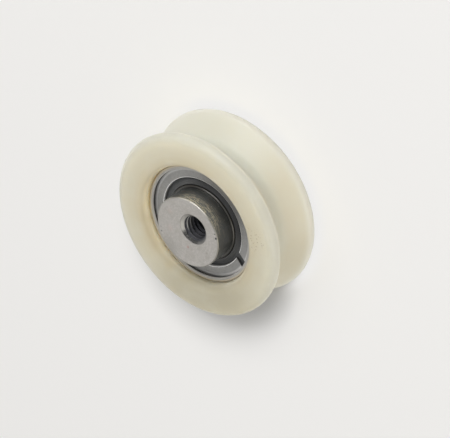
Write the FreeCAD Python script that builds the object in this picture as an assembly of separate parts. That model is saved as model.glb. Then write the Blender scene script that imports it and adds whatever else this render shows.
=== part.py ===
import FreeCAD, Part
import math
import os

# Eccentric grooved roller: a nylon V-groove tyre pressed on a sealed ball bearing that turns
# on a steel hub. The hub's tapped hole is off the spin axis, so turning the hub on its bolt
# moves the roller towards or away from its rail.
# Frame: spin axis along +Z, front (hub face) up, standing on the tyre's rear face at z = 0.
# +X points from the spin axis to the tapped hole. All sizes in millimetres.

# Tapped hole through the hub
thread_major_diameter = 9.525
thread_pitch = 1.5875
countersink_margin = 0.47
eccentricity = 3.175

# Hub: a barrel outside the bearing and a journal through it
journal_wall = 1.5875
hub_shoulder = 2.675
hub_projection = 3.0
hub_rear_projection = 0.5
hub_chamfer = 0.3
journal_chamfer = 0.4

# Bearing rings and balls
ball_diameter = 6.35
ball_count = 8
ball_clearance = 0.05
raceway_conformity = 0.52
raceway_wall = 2.33
shoulder_height = 1.15
ring_chamfer = 0.5
inner_ring_standout = 0.4
land_wall = 1.5875
lip_thickness = 0.75
lip_chamfer = 0.25

# Riveted ribbon cage in two pressed halves
cage_thickness = 0.6
pocket_clearance = 0.15
cage_ring_clearance = 0.5
rivet_diameter = 1.0
rivet_hole_clearance = 0.02
rivet_head_diameter = 1.8
rivet_head_height = 0.4

# Moulded seal washers
seal_cage_clearance = 0.325
seal_thickness = 1.5
seal_web_drop = 0.2
seal_lip_rise = 0.8
seal_lip_width = 0.4
seal_lip_clearance = 0.1
seal_seat_clearance = 0.05

# Split retaining rings
retaining_ring_thickness = 1.0
retaining_ring_width = 4.0
retaining_ring_edge_radius = 0.3
ring_groove_depth = 0.6
ring_groove_play = 0.44
ring_groove_clearance = 0.1
slit_width = 2.45
slit_angle = -69.8
slit_slant = -21.0

# Nylon tyre
tyre_width = 22.0
groove_angle = 90.0
groove_bottom_radius = 3.0
groove_floor_wall = 4.46
rim_radius = 2.2
bore_edge_radius = 2.7

# Fit between pressed pieces
press_fit_gap = 0.01

# Radii that follow, from the thread outwards
tap_radius = (thread_major_diameter - thread_pitch) / 2
mouth_radius = thread_major_diameter / 2 + countersink_margin
bearing_bore_radius = eccentricity + thread_major_diameter / 2 + journal_wall
journal_radius = bearing_bore_radius - press_fit_gap
hub_radius = bearing_bore_radius + hub_shoulder
ball_radius = ball_diameter / 2
raceway_radius = raceway_conformity * ball_diameter
inner_raceway = bearing_bore_radius + raceway_wall
pitch_radius = inner_raceway + ball_clearance + ball_radius
outer_raceway = pitch_radius + ball_radius + ball_clearance
inner_shoulder = inner_raceway + shoulder_height
outer_shoulder = outer_raceway - shoulder_height
bearing_radius = outer_raceway + raceway_wall
seat_radius = bearing_radius - land_wall
ring_groove_radius = seat_radius + ring_groove_depth
retaining_ring_outer = ring_groove_radius - ring_groove_clearance
retaining_ring_inner = retaining_ring_outer - retaining_ring_width
tyre_bore_radius = bearing_radius + press_fit_gap
groove_floor_radius = tyre_bore_radius + groove_floor_wall

# Heights that follow, from the bearing's mid-plane outwards
pocket_radius = ball_radius + pocket_clearance
cage_crown = pocket_radius + cage_thickness
seal_foot = cage_crown + seal_cage_clearance
seal_top = seal_foot + seal_thickness
retaining_ring_face = seal_top + retaining_ring_thickness
ring_groove_top = retaining_ring_face + ring_groove_play
outer_ring_face = ring_groove_top + lip_thickness
inner_ring_face = retaining_ring_face + inner_ring_standout
hub_rear = -inner_ring_face - hub_rear_projection
tyre_face = tyre_width / 2
hub_face = tyre_face + hub_projection

ORIGIN = FreeCAD.Vector(0, 0, 0)
SPIN_AXIS = FreeCAD.Vector(0, 0, 1)
FULL_TURN = 360.0


def at(radius, height):
    """A point of a turned profile, in the half-plane y = 0."""
    return FreeCAD.Vector(radius, 0, height)


def chain(points):
    """Straight edges from each point to the next."""
    return [Part.LineSegment(a, b).toShape() for a, b in zip(points, points[1:])]


def arc(start, through, end):
    """A circular edge through three points."""
    return Part.Arc(start, through, end).toShape()


def on_circle(centre_radius, centre_height, radius, degrees):
    """A point of a profile circle, with degrees counted from outwards to up."""
    turn = math.radians(degrees)
    return at(centre_radius + radius * math.cos(turn), centre_height + radius * math.sin(turn))


def turned(edges):
    """The solid that a closed profile makes when it turns about the spin axis."""
    return Part.Face(Part.Wire(edges)).revolve(ORIGIN, SPIN_AXIS, FULL_TURN)


def mirrored(shape):
    """The same piece on the rear side of the bearing's mid-plane."""
    return shape.mirror(ORIGIN, SPIN_AXIS)


def around_pitch_circle(shape, first_angle):
    """Copies of a shape that stands on the pitch circle, one for each ball."""
    copies = []
    for index in range(ball_count):
        copy = shape.copy()
        copy.rotate(ORIGIN, SPIN_AXIS, first_angle + index * FULL_TURN / ball_count)
        copies.append(copy)
    return copies


def make_tyre():
    """Nylon tyre: V-groove with a round floor, full round rims and rounded bore ends."""
    half_angle = groove_angle / 2
    sine = math.sin(math.radians(half_angle))
    cosine = math.cos(math.radians(half_angle))
    rim_height = tyre_face - rim_radius
    floor_centre = groove_floor_radius + groove_bottom_radius
    wall_run = (rim_height - (rim_radius + groove_bottom_radius) * cosine) / sine
    rim_centre = floor_centre - groove_bottom_radius * sine - rim_radius * sine + wall_run * cosine
    wall_turn = 90 - half_angle
    bore_centre = tyre_bore_radius + bore_edge_radius
    bore_height = tyre_face - bore_edge_radius

    front_face_end = on_circle(rim_centre, rim_height, rim_radius, 90)
    front_wall_top = on_circle(rim_centre, rim_height, rim_radius, -wall_turn)
    front_wall_foot = on_circle(floor_centre, 0, groove_bottom_radius, 180 - wall_turn)
    rear_wall_foot = on_circle(floor_centre, 0, groove_bottom_radius, 180 + wall_turn)
    rear_wall_top = on_circle(rim_centre, -rim_height, rim_radius, wall_turn)
    rear_face_end = on_circle(rim_centre, -rim_height, rim_radius, -90)
    rear_face_start = at(bore_centre, -tyre_face)
    rear_bore = at(tyre_bore_radius, -bore_height)
    front_bore = at(tyre_bore_radius, bore_height)
    front_face_start = at(bore_centre, tyre_face)

    front_rim_middle = on_circle(rim_centre, rim_height, rim_radius, (90 - wall_turn) / 2)
    rear_rim_middle = on_circle(rim_centre, -rim_height, rim_radius, (wall_turn - 90) / 2)
    rear_bore_middle = on_circle(bore_centre, -bore_height, bore_edge_radius, -135)
    front_bore_middle = on_circle(bore_centre, bore_height, bore_edge_radius, 135)
    return turned(
        chain([front_face_start, front_face_end])
        + [arc(front_face_end, front_rim_middle, front_wall_top)]
        + chain([front_wall_top, front_wall_foot])
        + [arc(front_wall_foot, at(groove_floor_radius, 0), rear_wall_foot)]
        + chain([rear_wall_foot, rear_wall_top])
        + [arc(rear_wall_top, rear_rim_middle, rear_face_end)]
        + chain([rear_face_end, rear_face_start])
        + [arc(rear_face_start, rear_bore_middle, rear_bore)]
        + chain([rear_bore, front_bore])
        + [arc(front_bore, front_bore_middle, front_face_start)]
    )


def raceway_edge(shoulder, raceway, side):
    """Height at which a raceway arc meets the shoulder beside it."""
    centre = raceway - side * raceway_radius
    return math.sqrt(raceway_radius ** 2 - (shoulder - centre) ** 2)


def make_outer_ring():
    """Outer ring: raceway, a seal shoulder each side and a groove for each retaining ring."""
    edge = raceway_edge(outer_shoulder, outer_raceway, 1)
    front = [
        at(outer_shoulder, edge),
        at(outer_shoulder, seal_foot),
        at(seat_radius, seal_foot),
        at(seat_radius, seal_top),
        at(ring_groove_radius, seal_top),
        at(ring_groove_radius, ring_groove_top),
        at(seat_radius, ring_groove_top),
        at(seat_radius, outer_ring_face - lip_chamfer),
        at(seat_radius + lip_chamfer, outer_ring_face),
        at(bearing_radius - ring_chamfer, outer_ring_face),
        at(bearing_radius, outer_ring_face - ring_chamfer),
    ]
    rear = [at(point.x, -point.z) for point in reversed(front)]
    raceway = arc(rear[-1], at(outer_raceway, 0), front[0])
    return turned(chain(front + rear) + [raceway])


def make_inner_ring():
    """Inner ring: bore, raceway and two shoulders, with broken edges."""
    edge = raceway_edge(inner_shoulder, inner_raceway, -1)
    front = [
        at(inner_shoulder, edge),
        at(inner_shoulder, inner_ring_face - ring_chamfer),
        at(inner_shoulder - ring_chamfer, inner_ring_face),
        at(bearing_bore_radius + ring_chamfer, inner_ring_face),
        at(bearing_bore_radius, inner_ring_face - ring_chamfer),
    ]
    rear = [at(point.x, -point.z) for point in reversed(front)]
    raceway = arc(rear[-1], at(inner_raceway, 0), front[0])
    return turned(chain(front + rear) + [raceway])


def make_balls():
    """One ball in each pocket, the first on +X."""
    return around_pitch_circle(Part.makeSphere(ball_radius, at(pitch_radius, 0)), 0)


def make_cage_half():
    """Front half of the cage: a flat ribbon raised into a round pocket over each ball."""
    inner = inner_shoulder + cage_ring_clearance
    outer = outer_shoulder - cage_ring_clearance
    flat = Part.makeCylinder(outer, cage_thickness).cut(Part.makeCylinder(inner, cage_thickness))
    band = Part.makeCylinder(outer, cage_crown).cut(Part.makeCylinder(inner, cage_crown))
    crowns = around_pitch_circle(Part.makeSphere(cage_crown, at(pitch_radius, 0)), 0)
    hollows = around_pitch_circle(Part.makeSphere(pocket_radius, at(pitch_radius, 0)), 0)
    hole_radius = rivet_diameter / 2 + rivet_hole_clearance
    hole = Part.makeCylinder(hole_radius, cage_thickness, at(pitch_radius, 0))
    holes = around_pitch_circle(hole, FULL_TURN / ball_count / 2)
    half = flat.fuse([band.common(crown) for crown in crowns])
    return half.cut(hollows).cut(holes).removeSplitter()


def make_rivets():
    """One rivet between each two pockets, with a domed head each side."""
    shank = rivet_diameter / 2
    head = rivet_head_diameter / 2
    crown = cage_thickness + rivet_head_height
    dome = (head ** 2 + rivet_head_height ** 2) / (2 * rivet_head_height)
    sweep = math.degrees(math.asin(head / dome)) / 2
    top_middle = on_circle(0, crown - dome, dome, 90 - sweep)
    foot_middle = at(top_middle.x, -top_middle.z)
    profile = (
        chain([at(0, -crown), at(0, crown)])
        + [arc(at(0, crown), top_middle, at(head, cage_thickness))]
        + chain([
            at(head, cage_thickness),
            at(shank, cage_thickness),
            at(shank, -cage_thickness),
            at(head, -cage_thickness),
        ])
        + [arc(at(head, -cage_thickness), foot_middle, at(0, -crown))]
    )
    rivet = turned(profile)
    rivet.translate(at(pitch_radius, 0))
    return Part.makeCompound(around_pitch_circle(rivet, FULL_TURN / ball_count / 2))


def make_seal():
    """Front seal washer: a bead held under the retaining ring, a web and a raised inner lip."""
    outer = seat_radius - seal_seat_clearance
    inner = inner_shoulder + seal_lip_clearance
    lip_crest = inner + seal_lip_width
    web_top = seal_top - seal_web_drop
    web_foot = (retaining_ring_inner + lip_crest) / 2
    lip_top = seal_top + seal_lip_rise
    return turned(chain([
        at(inner, seal_foot),
        at(outer, seal_foot),
        at(outer, seal_top),
        at(retaining_ring_inner + seal_web_drop, seal_top),
        at(retaining_ring_inner, web_top),
        at(web_foot, web_top),
        at(lip_crest, lip_top),
        at(inner, lip_top),
        at(inner, seal_foot),
    ]))


def make_retaining_ring():
    """Front retaining ring: flat, with rolled inner edges and one slanted slit."""
    round_centre = retaining_ring_inner + retaining_ring_edge_radius
    low_height = seal_top + retaining_ring_edge_radius
    high_height = retaining_ring_face - retaining_ring_edge_radius
    radius = retaining_ring_edge_radius
    low_round = arc(
        at(retaining_ring_inner, low_height),
        on_circle(round_centre, low_height, radius, -135),
        at(round_centre, seal_top),
    )
    high_round = arc(
        at(round_centre, retaining_ring_face),
        on_circle(round_centre, high_height, radius, 135),
        at(retaining_ring_inner, high_height),
    )
    outer_side = chain([
        at(round_centre, seal_top),
        at(retaining_ring_outer, seal_top),
        at(retaining_ring_outer, retaining_ring_face),
        at(round_centre, retaining_ring_face),
    ])
    inner_side = chain([at(retaining_ring_inner, high_height), at(retaining_ring_inner, low_height)])
    ring = turned([low_round] + outer_side + [high_round] + inner_side)

    # The slit is cut by a bar twice as long as the ring is wide, laid across it.
    bar_length = 2 * retaining_ring_width
    corner = FreeCAD.Vector(-bar_length / 2, -slit_width / 2, seal_top)
    bar = Part.makeBox(bar_length, slit_width, retaining_ring_thickness, corner)
    bar.rotate(ORIGIN, SPIN_AXIS, slit_slant)
    bar.translate(at((retaining_ring_inner + retaining_ring_outer) / 2, 0))
    bar.rotate(ORIGIN, SPIN_AXIS, slit_angle)
    return ring.cut(bar)


def make_hub():
    """Turned hub with its tapped hole off the spin axis, countersunk at both ends."""
    blank = turned(chain([
        at(0, hub_rear),
        at(journal_radius - journal_chamfer, hub_rear),
        at(journal_radius, hub_rear + journal_chamfer),
        at(journal_radius, inner_ring_face),
        at(hub_radius, inner_ring_face),
        at(hub_radius, hub_face - hub_chamfer),
        at(hub_radius - hub_chamfer, hub_face),
        at(0, hub_face),
        at(0, hub_rear),
    ]))
    sink = mouth_radius - tap_radius
    hole = Part.makeCylinder(tap_radius, hub_face - hub_rear, at(eccentricity, hub_rear))
    rear_sink = Part.makeCone(mouth_radius, tap_radius, sink, at(eccentricity, hub_rear))
    front_sink = Part.makeCone(tap_radius, mouth_radius, sink, at(eccentricity, hub_face - sink))
    return blank.cut([hole, rear_sink, front_sink])


def build():
    """Every piece by its node's name, around the bearing's mid-plane."""
    cage_half = make_cage_half()
    seal = make_seal()
    retaining_ring = make_retaining_ring()
    pieces = {
        "roller_tyre": make_tyre(),
        "outer_ring": make_outer_ring(),
        "inner_ring": make_inner_ring(),
        "cage_front": cage_half,
        "cage_rear": mirrored(cage_half),
        "cage_rivets": make_rivets(),
        "front_seal": seal,
        "rear_seal": mirrored(seal),
        "front_retaining_ring": retaining_ring,
        "rear_retaining_ring": mirrored(retaining_ring),
        "eccentric_hub": make_hub(),
    }
    for number, ball in enumerate(make_balls(), start=1):
        pieces[f"ball_{number}"] = ball
    return pieces


os.makedirs("parts", exist_ok=True)
for name, piece in build().items():
    # The mid-plane goes up by half the tyre's width, so that the tyre stands on z = 0.
    piece.translate(FreeCAD.Vector(0, 0, tyre_face))
    piece.exportStep(f"parts/{name}.step")
    print(f"{name}: {len(piece.Solids)} solid, {piece.Volume:.2f} mm3, valid {piece.isValid()}")
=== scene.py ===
"""Eccentric grooved roller: smooth turned meshes, a real thread, finishes, light and camera.

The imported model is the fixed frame. Each sub-assembly class takes its main sizes from the frame's
boxes, builds its meshes with Geometry Nodes, dresses them and hands them to the frame's bodies.
Sizes are in millimetres unless a name says otherwise, and meshes are in metres.
"""

import logging
import math
from collections.abc import Callable
from dataclasses import dataclass, field
from enum import Enum
from typing import Any, Union

import bmesh
import bpy
from bpy.types import Material, Mesh, Node, NodeSocket, NodeTree, Object
from mathutils import Matrix, Vector


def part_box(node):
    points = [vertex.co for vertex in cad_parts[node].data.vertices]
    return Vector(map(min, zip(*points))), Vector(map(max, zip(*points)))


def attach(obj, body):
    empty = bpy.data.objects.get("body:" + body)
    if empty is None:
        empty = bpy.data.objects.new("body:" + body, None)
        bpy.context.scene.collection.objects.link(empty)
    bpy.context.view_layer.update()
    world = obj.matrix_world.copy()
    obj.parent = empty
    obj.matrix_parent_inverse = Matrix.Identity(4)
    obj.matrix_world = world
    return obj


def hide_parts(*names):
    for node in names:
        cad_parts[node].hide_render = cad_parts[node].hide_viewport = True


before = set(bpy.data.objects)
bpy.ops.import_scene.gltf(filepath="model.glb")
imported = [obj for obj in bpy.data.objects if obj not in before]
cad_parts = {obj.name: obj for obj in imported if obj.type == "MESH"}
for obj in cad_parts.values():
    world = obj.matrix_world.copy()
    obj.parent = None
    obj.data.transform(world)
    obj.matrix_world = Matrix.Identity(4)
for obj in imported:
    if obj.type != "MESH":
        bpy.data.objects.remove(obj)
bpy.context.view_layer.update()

LOG = logging.getLogger("roller")
MM = 0.001
WELD = 1e-7

Colour = tuple[float, float, float]
Span = tuple[float, float]
Feed = Union["Value", NodeSocket, float, int, tuple, Material]
Feeds = dict[Any, Feed]

WHITE: Colour = (1.0, 1.0, 1.0)
PIT_TONE: Colour = (0.03, 0.03, 0.03)


class Body(Enum):
    """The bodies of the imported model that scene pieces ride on."""

    HUB = "hub"
    ROLLER = "roller"
    CAGE = "cage"


class Slot(Enum):
    """The record's material slots, passed along with each scene piece."""

    NYLON = "natural_nylon"
    RING = "ring_steel"
    CAGE = "cage_steel"
    SEAL = "seal_rubber"
    RETAINING = "retaining_steel"
    HUB = "hub_steel"


class Side(Enum):
    """The two sides of the bearing's mid-plane, with the sign of their heights."""

    FRONT = 1
    REAR = -1


class Reach(Enum):
    """What a lamp falls on, as the floor's link state for it."""

    FLOOR = "INCLUDE"
    ROLLER = "EXCLUDE"


def arithmetic(operation: str, swapped: bool = False) -> Callable[["Value", Feed], "Value"]:
    """Make a method that joins a value and another in a Math node.

    Args:
        operation: the Math node's operation.
        swapped: whether the other one comes first.

    Returns:
        The method.
    """

    def method(value: "Value", other: Feed) -> "Value":
        """Join the two in a Math node."""
        return value.graph.math(operation, *((other, value) if swapped else (value, other)))

    return method


class Value:
    """A number socket that Python's arithmetic extends with Math nodes."""

    __add__ = __radd__ = arithmetic("ADD")
    __mul__ = __rmul__ = arithmetic("MULTIPLY")
    __sub__ = arithmetic("SUBTRACT")
    __rsub__ = arithmetic("SUBTRACT", swapped=True)
    __truediv__ = arithmetic("DIVIDE")
    __rtruediv__ = arithmetic("DIVIDE", swapped=True)
    __pow__ = arithmetic("POWER")
    __rpow__ = arithmetic("POWER", swapped=True)
    at_least = arithmetic("MAXIMUM")
    at_most = arithmetic("MINIMUM")

    def __init__(self, graph: "Graph", socket: NodeSocket) -> None:
        """Keep the socket and the graph that new nodes go to."""
        self.graph = graph
        self.socket = socket

    def math(self, operation: str) -> "Value":
        """A Math node on this value alone."""
        return self.graph.math(operation, self)

    def __neg__(self) -> "Value":
        """-self."""
        return self * -1.0

    def __abs__(self) -> "Value":
        """abs(self)."""
        return self.math("ABSOLUTE")

    def ramp(self, low: float, high: float) -> "Value":
        """Rise from 0 at low to 1 at high, held beyond them."""
        return ((self - low) / (high - low)).at_least(0.0).at_most(1.0)

    def smooth(self, low: float, high: float) -> "Value":
        """As ramp, with soft ends."""
        step = self.ramp(low, high)
        return step * step * (3.0 - 2.0 * step)


class Graph:
    """A node tree that grows by calls and by arithmetic on its sockets."""

    def __init__(self, tree: NodeTree) -> None:
        """Keep the tree that nodes are added to."""
        self.tree = tree

    def node(self, kind: str, settings: dict[str, Any] | None = None, feeds: Feeds | None = None) -> Node:
        """Add one node of any type.

        Args:
            kind: the node's type.
            settings: its properties, set first.
            feeds: values or links for its sockets, by name or number.

        Returns:
            The new node.
        """
        node = self.tree.nodes.new(kind)
        for name, setting in (settings or {}).items():
            setattr(node, name, setting)
        for name, feed in (feeds or {}).items():
            self.feed(node.inputs[name], feed)
        return node

    def feed(self, socket: NodeSocket, feed: Feed) -> None:
        """Link a socket, or set its value.

        Args:
            socket: the socket that takes it.
            feed: another socket, or a plain value.
        """
        if isinstance(feed, Value):
            feed = feed.socket
        if isinstance(feed, NodeSocket):
            self.tree.links.new(feed, socket)
        elif socket.type == "RGBA" and len(feed) == 3:
            socket.default_value = (*feed, 1.0)
        else:
            socket.default_value = feed

    def value(self, node: Node, output: Any = 0) -> Value:
        """One of a node's outputs as a value."""
        return Value(self, node.outputs[output])

    def math(self, operation: str, *feeds: Feed) -> Value:
        """Add a Math node on these values."""
        return self.value(self.node("ShaderNodeMath", {"operation": operation}, dict(enumerate(feeds))))

    def split(self, vector: Feed) -> tuple[Value, Value, Value]:
        """The three parts of a vector."""
        node = self.node("ShaderNodeSeparateXYZ", feeds={0: vector})
        return self.value(node, 0), self.value(node, 1), self.value(node, 2)

    def join(self, x: Feed, y: Feed, z: Feed) -> NodeSocket:
        """A vector from three numbers."""
        return self.node("ShaderNodeCombineXYZ", feeds={0: x, 1: y, 2: z}).outputs[0]

    def seen(self) -> Value:
        """1 for the rays that show a surface to the camera, straight or by metal and glass."""
        rays = self.node("ShaderNodeLightPath")
        kinds = [self.value(rays, f"Is {kind} Ray") for kind in ("Camera", "Glossy", "Transmission")]
        return (kinds[0] + kinds[1] + kinds[2]).at_most(1.0)

    def blend(self, share: Value, first: Node, second: Node) -> NodeSocket:
        """A shader between two shaders."""
        feeds = {0: share, 1: first.outputs[0], 2: second.outputs[0]}
        return self.node("ShaderNodeMixShader", feeds=feeds).outputs[0]


class ShapeTree(Graph):
    """A Geometry Nodes tree with named inputs, run on a mesh and then taken off it."""

    FINISH = "Finish"

    def __init__(self, name: str, counts: tuple[str, ...], measures: tuple[str, ...]) -> None:
        """Make the tree and its inputs.

        Args:
            name: the tree's name.
            counts: the names of its whole-number inputs.
            measures: the names of its other number inputs.
        """
        super().__init__(bpy.data.node_groups.new(name, "GeometryNodeTree"))
        kinds = {
            "Geometry": "NodeSocketGeometry",
            **dict.fromkeys(counts, "NodeSocketInt"),
            **dict.fromkeys(measures, "NodeSocketFloat"),
            self.FINISH: "NodeSocketMaterial",
        }
        sockets = self.tree.interface
        self.identifiers: dict[str, str] = {}
        for label, kind in kinds.items():
            socket = sockets.new_socket(label, in_out="INPUT", socket_type=kind)
            self.identifiers[label] = socket.identifier
        sockets.new_socket("Geometry", in_out="OUTPUT", socket_type=kinds["Geometry"])
        self.source = self.node("NodeGroupInput")

    def input(self, label: str) -> Value:
        """A named input as a value."""
        return self.value(self.source, label)

    def grid(self, columns: Value, rows: Value) -> tuple[NodeSocket, Value, Value]:
        """A flat grid, with each point's column and row counted from 0.

        Args:
            columns: points along the first way.
            rows: points along the second way.

        Returns:
            The grid's mesh, the column field and the row field.
        """
        grid = self.node(
            "GeometryNodeMeshGrid",
            feeds={"Size X": columns - 1, "Size Y": rows - 1, "Vertices X": columns, "Vertices Y": rows},
        )
        x, y, _ = self.split(self.node("GeometryNodeInputPosition").outputs[0])
        column = (x + (columns - 1) / 2).math("ROUND")
        row = (y + (rows - 1) / 2).math("ROUND")
        return grid.outputs["Mesh"], column, row

    def wrap(self, mesh: Feed, radius: Value, turn: Value, height: Value, shift: Value) -> None:
        """End the tree with a grid that is bent round the spin axis, its seams merged.

        Args:
            mesh: the flat grid.
            radius: each point's distance from the centre of its circle.
            turn: its turn about that centre, in radians.
            height: its height.
            shift: how far the centre lies along +X.
        """
        placed = self.join(shift + radius * turn.math("COSINE"), radius * turn.math("SINE"), height)
        bent = self.node("GeometryNodeSetPosition", feeds={"Geometry": mesh, "Position": placed})
        merged = self.node("GeometryNodeMergeByDistance", feeds={0: bent.outputs[0], "Distance": WELD})
        self.close(merged.outputs[0])

    def close(self, shape: NodeSocket) -> None:
        """End the tree: smooth shading, instances made real, material set.

        Args:
            shape: the geometry to end with.
        """
        smooth = self.node("GeometryNodeSetShadeSmooth", feeds={0: shape})
        real = self.node("GeometryNodeRealizeInstances", feeds={0: smooth.outputs[0]})
        dressed = self.node(
            "GeometryNodeSetMaterial", feeds={0: real.outputs[0], "Material": self.input(self.FINISH)}
        )
        self.node("NodeGroupOutput", feeds={0: dressed.outputs[0]})

    def run(self, base: Mesh, values: dict[str, Any]) -> Mesh:
        """Evaluate the tree on a mesh.

        Args:
            base: the mesh that the tree starts from.
            values: what each named input takes.

        Returns:
            The result as a plain mesh.
        """
        carrier = bpy.data.objects.new(self.tree.name, base)
        bpy.context.scene.collection.objects.link(carrier)
        modifier = carrier.modifiers.new(self.tree.name, "NODES")
        modifier.node_group = self.tree
        for label, value in values.items():
            modifier[self.identifiers[label]] = value
        evaluated = carrier.evaluated_get(bpy.context.evaluated_depsgraph_get())
        mesh = bpy.data.meshes.new_from_object(evaluated)
        bpy.data.objects.remove(carrier)
        return mesh


class TurningTree(ShapeTree):
    """Turns a profile about the spin axis, whole or with one slanted slit.

    A profile point's x is its radius and z its height. Its y moves the circle's centre along +X,
    so that a face can lead from a centred edge to an off-centre hole.
    """

    def __init__(self) -> None:
        """Build the tree."""
        super().__init__(
            "turning",
            ("Profile Points", "Segments"),
            ("Slit Width", "Slit Angle", "Slit Slant", "Slit Radius"),
        )
        segments = self.input("Segments")
        mesh, column, row = self.grid(self.input("Profile Points"), segments + 1)
        sample = self.node(
            "GeometryNodeSampleIndex",
            {"data_type": "FLOAT_VECTOR", "domain": "POINT"},
            {"Geometry": self.source.outputs["Geometry"], "Index": column},
        )
        sampled = next(socket for socket in sample.inputs if socket.name == "Value" and socket.enabled)
        self.feed(sampled, self.node("GeometryNodeInputPosition").outputs[0])
        drawn = next(socket for socket in sample.outputs if socket.enabled)
        radius, shift, height = self.split(drawn)

        slant = self.input("Slit Slant")
        middle = -self.input("Slit Radius") * slant.math("SINE")
        half = self.input("Slit Width") / 2
        line = self.input("Slit Angle") + slant
        start = line + ((middle + half) / radius).math("ARCSINE")
        end = line + math.tau + ((middle - half) / radius).math("ARCSINE")
        turn = start + (end - start) * row / segments
        self.wrap(mesh, radius, turn, height, shift)


class ThreadTree(ShapeTree):
    """The wall of a tapped through-hole: a right-hand thread that runs out into two countersinks."""

    ROOT_FLAT = 0.125
    CREST_START = 0.75

    def __init__(self) -> None:
        """Build the tree."""
        super().__init__(
            "thread",
            ("Rows", "Segments"),
            ("Tap Radius", "Depth", "Pitch", "Mouth Radius", "Low", "High", "Shift"),
        )
        rows, segments = self.input("Rows"), self.input("Segments")
        low, high = self.input("Low"), self.input("High")
        mesh, column, row = self.grid(rows, segments + 1)
        height = low + (high - low) * column / (rows - 1)
        turn = row / segments
        phase = (height / self.input("Pitch") - turn).math("FRACT")
        off_root = abs(phase - 0.5) * 2
        cut = 1 - off_root.ramp(self.ROOT_FLAT, self.CREST_START)
        thread = self.input("Tap Radius") + self.input("Depth") * cut
        mouth = self.input("Mouth Radius")
        radius = thread.at_least(mouth - (high - height)).at_least(mouth - (height - low))
        self.wrap(mesh, radius, turn * math.tau, height, self.input("Shift"))


class RivetTree(ShapeTree):
    """Sets copies of one rivet on the cage's pitch circle."""

    def __init__(self) -> None:
        """Build the tree."""
        super().__init__("riveting", ("Count",), ("Pitch Radius", "First Angle", "Height"))
        circle = self.node(
            "GeometryNodeMeshCircle",
            feeds={"Vertices": self.input("Count"), "Radius": self.input("Pitch Radius")},
        )
        placed = self.node("GeometryNodeTransform", feeds={
            "Geometry": circle.outputs[0],
            "Translation": self.join(0.0, 0.0, self.input("Height")),
            "Rotation": self.join(0.0, 0.0, self.input("First Angle")),
        })
        rivets = self.node("GeometryNodeInstanceOnPoints", feeds={
            "Points": placed.outputs[0],
            "Instance": self.source.outputs["Geometry"],
        })
        self.close(rivets.outputs[0])


@dataclass(frozen=True)
class Corner:
    """A corner of a turned profile, with the radius that rounds it."""

    radius: float
    height: float
    fillet: float = 0.0
    shift: float = 0.0


def mirrored(front: list[Corner], middle: float) -> list[Corner]:
    """The same corners on the other side of a mid-plane, in the order that closes an outline."""
    return [Corner(corner.radius, 2 * middle - corner.height, corner.fillet) for corner in reversed(front)]


@dataclass
class Profile:
    """The outline of a turned piece in the half-plane through the spin axis."""

    corners: list[Corner]
    closed: bool = True
    arc_step_deg: float = 7.5
    max_run: float = 1.2

    def points(self) -> list[Vector]:
        """Round the corners and divide the long runs.

        Returns:
            Points in metres, with the first repeated at the end of a closed outline.
        """
        count = len(self.corners)
        rounded: list[Vector] = []
        for index, corner in enumerate(self.corners):
            end = not self.closed and index in (0, count - 1)
            if corner.fillet and not end:
                before = self._at(self.corners[index - 1])
                after = self._at(self.corners[(index + 1) % count])
                rounded += self._arc(before, self._at(corner), after, corner.fillet)
            else:
                rounded.append(self._at(corner))
        if self.closed:
            rounded.append(rounded[0])
        divided = [rounded[0]]
        for start, end in zip(rounded, rounded[1:]):
            steps = max(1, math.ceil((end - start).length / self.max_run))
            divided += [start.lerp(end, step / steps) for step in range(1, steps + 1)]
        return [point * MM for point in divided]

    @staticmethod
    def _at(corner: Corner) -> Vector:
        """The corner as a point: radius, shift, height."""
        return Vector((corner.radius, corner.shift, corner.height))

    def _arc(self, before: Vector, tip: Vector, after: Vector, fillet: float) -> list[Vector]:
        """Round one corner.

        Args:
            before: the corner before it.
            tip: the corner itself.
            after: the corner after it.
            fillet: the rounding's radius.

        Returns:
            Points along the rounding, from its first tangent point to its last.
        """
        back = (before - tip).normalized()
        on = (after - tip).normalized()
        half = back.angle(on) / 2
        centre = tip + (back + on).normalized() * (fillet / math.sin(half))
        first = tip + back * (fillet / math.tan(half)) - centre
        last = tip + on * (fillet / math.tan(half)) - centre
        sweep = math.pi - 2 * half
        steps = max(2, math.ceil(math.degrees(sweep) / self.arc_step_deg))
        turned = []
        for step in range(steps + 1):
            part = step / steps
            weight = math.sin((1 - part) * sweep), math.sin(part * sweep)
            turned.append(centre + (first * weight[0] + last * weight[1]) / math.sin(sweep))
        return turned


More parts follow.
